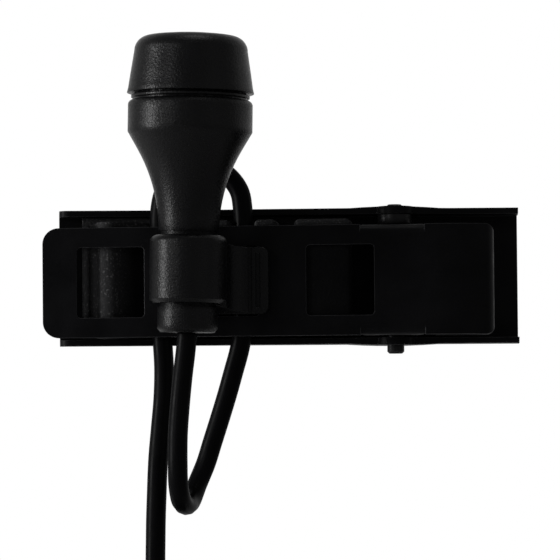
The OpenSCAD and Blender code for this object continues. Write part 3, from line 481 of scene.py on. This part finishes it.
def bare_metal(name, dark, light, rough):
    """Bare metal with faint marks and stains."""
    n = Nodes(name, Metallic=1.0)
    marks = n.noise(size_mm=0.25, detail=3)
    colour = n.mixed(n.ranged(n.noise(size_mm=2.5, detail=3), 0, 1), dark, light)
    normal = n.bumped(marks, depth_mm=0.003, strength=0.5)
    return n.use(colour, n.roughness(marks, rough, less=0.06, more=0.1), normal)


def rubbery(name, dark, light, rough, specular):
    """Rubber or soft plastic, with a fine matt grain."""
    n = Nodes(name, Specular_IOR_Level=specular)
    colour = n.mixed(n.ranged(n.noise(size_mm=6, detail=3), 0, 1), dark, light)
    grain = n.noise(size_mm=0.2, detail=2)
    smears = n.roughness(n.noise(size_mm=1.5, detail=2), rough, less=0.08, more=0.08)
    return n.use(colour, smears, n.bumped(grain, depth_mm=0.01, strength=0.5))


def mesh_cloth(name, dark, light):
    """A fine woven mesh."""
    n = Nodes(name, Roughness=0.8, Specular_IOR_Level=0.2)
    inputs = {"Vector": n.place, "Scale": MESH_WAVES}
    waves = [n.add("TexWave", inputs, bands_direction=axis).outputs["Fac"] for axis in ("X", "Y")]
    weave = n.add("Math", {0: waves[0], 1: waves[1]}, operation="MULTIPLY").outputs[0]
    return n.use(n.mixed(weave, dark, light), None, n.bumped(weave, depth_mm=0.03, strength=1))


def strap(name, dark, light):
    """The looped side of a hook-and-loop strap."""
    n = Nodes(
        name, Roughness=0.75, Specular_IOR_Level=0.05, Sheen_Weight=0.15, Sheen_Roughness=0.5,
        Sheen_Tint=(0.03, 0.03, 0.03, 1),
    )
    loops = n.add("TexVoronoi", {"Vector": n.place, "Scale": STRAP_LOOPS}).outputs["Distance"]
    fuzz = n.noise(size_mm=0.15, detail=3)
    colour = n.mixed(n.ranged(loops, 0, 1, from_low=0.1, from_high=0.6), dark, light)
    looped = n.bumped(loops, depth_mm=0.06, strength=0.8)
    return n.use(colour, None, n.bumped(fuzz, depth_mm=0.03, strength=0.6, under=looped))


BLACK = (0.0006, 0.0006, 0.0007)
SOFT_BLACK = (0.0011, 0.0011, 0.0012)
materials = {
    "body": moulded_plastic(
        "body_plastic", BLACK, SOFT_BLACK,
        grain_mm=0.19, depth_mm=0.045, rough=0.29, specular=0.038, edge_mm=0.9,
    ),
    "cap": moulded_plastic(
        "cap_plastic", BLACK, SOFT_BLACK,
        grain_mm=0.19, depth_mm=0.042, rough=0.29, specular=0.038,
    ),
    "clip": moulded_plastic(
        "clip_plastic", BLACK, SOFT_BLACK,
        grain_mm=0.19, depth_mm=0.04, rough=0.3, specular=0.036,
    ),
    # The guide gets a painted highlight at its grip end and along its top, with painted glints
    "guide": plastic_with_painted_highlight(
        "guide_plastic", dark=(0.0008, 0.0008, 0.0009), light=(0.0016, 0.0016, 0.0017),
        painted_highlight=(0.008, 0.008, 0.0083), painted_glint=(0.028, 0.028, 0.028),
        grain_mm=0.25, depth_mm=0.07, rough=0.36, specular=0.009,
    ),
    "steel": painted_steel(
        "black_steel", dark=BLACK, light=(0.0016, 0.0016, 0.0018), worn=(0.02, 0.02, 0.021),
        rough=0.4, specular=0.013,
    ),
    "pin": painted_steel(
        "pin_steel", dark=(0.0015, 0.0015, 0.0016), light=(0.003, 0.003, 0.0032),
        worn=(0.06, 0.06, 0.065), rough=0.35, specular=0.035,
    ),
    "shell": painted_steel(
        "shell_metal", dark=(0.006, 0.006, 0.0065), light=(0.01, 0.01, 0.0105),
        worn=(0.08, 0.08, 0.085), rough=0.35, specular=0.25,
    ),
    "nut": painted_steel(
        "nut_metal", dark=(0.009, 0.009, 0.0095), light=(0.015, 0.015, 0.0155),
        worn=(0.12, 0.12, 0.125), rough=0.32, specular=0.3,
    ),
    "board": painted_steel(
        "board_green", dark=(0.01, 0.06, 0.025), light=(0.015, 0.08, 0.035),
        worn=(0.02, 0.1, 0.05), rough=0.4, specular=0.5,
    ),
    "chip": painted_steel(
        "chip_black", dark=(0.01, 0.01, 0.01), light=(0.015, 0.015, 0.015),
        worn=(0.03, 0.03, 0.03), rough=0.4, specular=0.4,
    ),
    "spring": bare_metal("spring_steel", (0.08, 0.08, 0.085), (0.13, 0.13, 0.135), rough=0.32),
    "capsule": bare_metal("capsule_metal", (0.5, 0.5, 0.52), (0.62, 0.62, 0.64), rough=0.3),
    "brass": bare_metal("ferrule_brass", (0.55, 0.38, 0.13), (0.65, 0.46, 0.18), rough=0.3),
    "contact": bare_metal("contact_metal", (0.36, 0.36, 0.37), (0.46, 0.46, 0.47), rough=0.2),
    "jacket": rubbery(
        "lead_jacket", (0.0005, 0.0005, 0.0006), (0.001, 0.001, 0.0011), rough=0.36, specular=0.009,
    ),
    "rubber": rubbery(
        "soft_rubber", (0.004, 0.004, 0.004), (0.007, 0.007, 0.007), rough=0.6, specular=0.12,
    ),
    "wire": rubbery("wire_red", (0.35, 0.03, 0.02), (0.4, 0.04, 0.03), rough=0.4, specular=0.5),
    "insulator": rubbery(
        "insulator_black", (0.01, 0.01, 0.01), (0.014, 0.014, 0.014), rough=0.3, specular=0.5,
    ),
    "screen": mesh_cloth("screen_mesh", (0.01, 0.01, 0.01), (0.05, 0.05, 0.05)),
    "tie": strap("tie_strap", (0.0015, 0.0015, 0.0016), (0.006, 0.006, 0.0063)),
}
LOOKS = {
    "steel": ["rear_jaw", "front_jaw"],
    "pin": ["pivot_pin", "spacer_washer"],
    "clip": ["mic_holder"],
    "guide": ["cable_guide"],
    "body": ["mic_body"],
    "cap": ["cap", "retainer_ring"],
    "screen": ["acoustic_screen"],
    "capsule": ["capsule"],
    "rubber": ["capsule_sleeve", "strain_bush", "plug_boot"],
    "board": ["preamp_board"],
    "chip": ["board_parts"],
    "wire": ["signal_wires"],
    "brass": ["crimp_ferrule"],
    "jacket": ["lead_stub"],
    "shell": ["plug_shell"],
    "nut": ["plug_nut"],
    "contact": ["plug_sleeve", "plug_ring", "plug_tip"],
    "insulator": ["plug_insulators"],
}


def paint(obj, key):
    obj.data.materials.clear()
    obj.data.materials.append(materials[key])


for key, names in LOOKS.items():
    for name in names:
        paint(nodes[name], key)
for piece, key in ((lead, "jacket"), (tie, "tie"), (spring, "spring")):
    paint(piece, key)

# ---- Edges and shading of the CAD nodes ----
BEVEL_MM = {
    "pivot_pin": 0.08, "spacer_washer": 0.08, "mic_body": 0.06, "retainer_ring": 0.04, "cap": 0.06,
    "plug_boot": 0.1, "plug_shell": 0.06, "plug_nut": 0.08, "plug_sleeve": 0.05, "plug_ring": 0.04,
    "plug_tip": 0.04, "board_parts": 0.05,
}
BEVEL_FROM = math.radians(38)
BEVEL_SEGMENTS = 2
CREASE_FROM = math.radians(30)
SEAM_MM = 0.002
FLAT_MM2 = 8
# Faces are in one plane when their normals agree to 0.001 and their offsets to 0.01 mm
PLANE_DIGITS = 3
OFFSET_UNIT_MM = 10


def shade_curves_smooth(obj):
    """Shades a mesh smooth but for its large flat faces."""
    planes = []
    areas = {}
    for polygon in obj.data.polygons:
        normal = polygon.normal
        offset = normal.dot(polygon.center) / MM / OFFSET_UNIT_MM
        plane = tuple(round(c, PLANE_DIGITS) for c in (*normal, offset))
        planes.append(plane)
        areas[plane] = areas.get(plane, 0) + polygon.area
    for polygon, plane in zip(obj.data.polygons, planes):
        polygon.use_smooth = areas[plane] < FLAT_MM2 * MM * MM


def make_crease_group():
    """Joins a mesh's seams and keeps its sharp edges and flat faces apart from its curves."""
    group = bpy.data.node_groups.new("creases", "GeometryNodeTree")
    group.interface.new_socket("Geometry", in_out="INPUT", socket_type="NodeSocketGeometry")
    group.interface.new_socket("Geometry", in_out="OUTPUT", socket_type="NodeSocketGeometry")
    add = group.nodes.new
    link = group.links.new
    seams = add("GeometryNodeMergeByDistance")
    seams.inputs["Distance"].default_value = SEAM_MM * MM
    angle = add("GeometryNodeInputMeshEdgeAngle")
    sharp = add("FunctionNodeCompare")
    sharp.operation = "GREATER_THAN"
    sharp.inputs[1].default_value = CREASE_FROM
    smooth = add("GeometryNodeInputShadeSmooth")
    flat = add("FunctionNodeBooleanMath")
    flat.operation = "NOT"
    normals = add("GeometryNodeSetMeshNormal")
    normals.inputs["Remove Custom"].default_value = True
    link(add("NodeGroupInput").outputs[0], seams.inputs["Geometry"])
    link(seams.outputs[0], normals.inputs["Mesh"])
    link(angle.outputs["Unsigned Angle"], sharp.inputs[0])
    link(sharp.outputs[0], normals.inputs["Edge Sharpness"])
    link(smooth.outputs[0], flat.inputs[0])
    link(flat.outputs[0], normals.inputs["Face Sharpness"])
    link(normals.outputs[0], add("NodeGroupOutput").inputs[0])
    return group


creases = make_crease_group()


def crease(obj):
    """Shades a solid's curves smooth and leaves its edges as they are."""
    shade_curves_smooth(obj)
    obj.modifiers.new("creases", "NODES").node_group = creases


def bevel(obj, width_mm):
    """Rounds a solid's sharp edges a little and shades it smooth."""
    for polygon in obj.data.polygons:
        polygon.use_smooth = True
    weld = obj.modifiers.new("weld", "WELD")
    weld.merge_threshold = SEAM_MM * MM
    edges = obj.modifiers.new("bevel", "BEVEL")
    edges.width = width_mm * MM
    edges.segments = BEVEL_SEGMENTS
    edges.limit_method = "ANGLE"
    edges.angle_limit = BEVEL_FROM
    edges.harden_normals = False
    edges.use_clamp_overlap = True
    normals = obj.modifiers.new("normals", "WEIGHTED_NORMAL")
    normals.keep_sharp = True


for name, obj in nodes.items():
    if obj.hide_render:
        continue
    if name in BEVEL_MM:
        bevel(obj, BEVEL_MM[name])
    else:
        crease(obj)

# ---- Stage, in metres: a pale floor, soft lamps, and a white surround ----
FLOOR_Z = -0.106
FLOOR_R = 1.2
FLOOR_SIDES = 96
FADE_FROM = 0.25
FADE_TO = 0.9
AMBIENT = 0.25
WHITE = (1, 1, 1, 1)
PALE = (0.9, 0.9, 0.9, 1)
WHITE_TO = ("Is Camera Ray", "Is Glossy Ray", "Is Transmission Ray")
LAMP_TARGET = Vector((0.015, 0, 0))


def white_rays(tree):
    """1 for rays that come straight from the camera, off a gloss or through glass, 0 for diffuse ones."""
    rays = add_node(tree, "LightPath").outputs
    any_of = rays[WHITE_TO[0]]
    for name in WHITE_TO[1:]:
        any_of = add_node(tree, "Math", {0: any_of, 1: rays[name]}, operation="MAXIMUM").outputs[0]
    return any_of


def make_world():
    """A surround that is seen as white and lights the object more weakly."""
    world = bpy.data.worlds.new("world")
    scene.world = world
    world.use_nodes = True
    tree = world.node_tree
    ambient = tree.nodes["Background"]
    ambient.inputs["Color"].default_value = WHITE
    ambient.inputs["Strength"].default_value = AMBIENT
    white = add_node(tree, "Background", {"Color": WHITE, "Strength": 1})
    shaders = {0: white_rays(tree), 1: ambient.outputs[0], 2: white.outputs[0]}
    mix = add_node(tree, "MixShader", shaders)
    tree.links.new(mix.outputs[0], tree.nodes["World Output"].inputs["Surface"])


def make_floor():
    """A pale disc that fades to the white surround away from the object."""
    round_angles = [2 * math.pi * k / FLOOR_SIDES for k in range(FLOOR_SIDES)]
    rim = [(FLOOR_R * math.cos(a), FLOOR_R * math.sin(a), FLOOR_Z) for a in round_angles]
    floor = mesh_object("floor", rim, [tuple(range(FLOOR_SIDES))])
    n = Nodes("floor", Base_Color=PALE, Roughness=0.9, Specular_IOR_Level=0)
    away = n.add("VectorMath", {0: n.place}, operation="LENGTH").outputs["Value"]
    fade = n.ranged(away, 0, 1, FADE_FROM, FADE_TO)
    glow = n.add("Emission", {"Color": WHITE, "Strength": 1})
    seen = n.add("Math", {0: fade, 1: white_rays(n.tree)}, operation="MULTIPLY").outputs[0]
    mix = n.add("MixShader", {0: seen, 1: n.shader.outputs[0], 2: glow.outputs[0]})
    n.tree.links.new(mix.outputs[0], n.tree.nodes["Material Output"].inputs["Surface"])
    floor.data.materials.append(n.material)


def make_lamp(name, place, size, power, height=None):
    """A soft lamp turned to the object, square or with a height of its own."""
    data = bpy.data.lights.new(name, "AREA")
    data.energy = power
    data.size = size
    if height is not None:
        data.shape = "RECTANGLE"
        data.size_y = height
    lamp = bpy.data.objects.new(name, data)
    scene.collection.objects.link(lamp)
    lamp.location = place
    lamp.rotation_mode = "QUATERNION"
    lamp.rotation_quaternion = (LAMP_TARGET - Vector(place)).to_track_quat("-Z", "Y")


make_world()
make_floor()
make_lamp("side", (-0.43, -0.1, 0.04), size=0.12, power=5, height=0.23)
make_lamp("key", (-0.26, -0.31, 0.12), size=0.08, power=0.7)
make_lamp("fill", (0.3, -0.3, 0.1), size=0.25, power=0.1)
make_lamp("rim", (0.3, 0.12, 0.05), size=0.05, power=0.05, height=0.3)
make_lamp("top", (0.06, -0.05, 0.4), size=0.2, power=1)
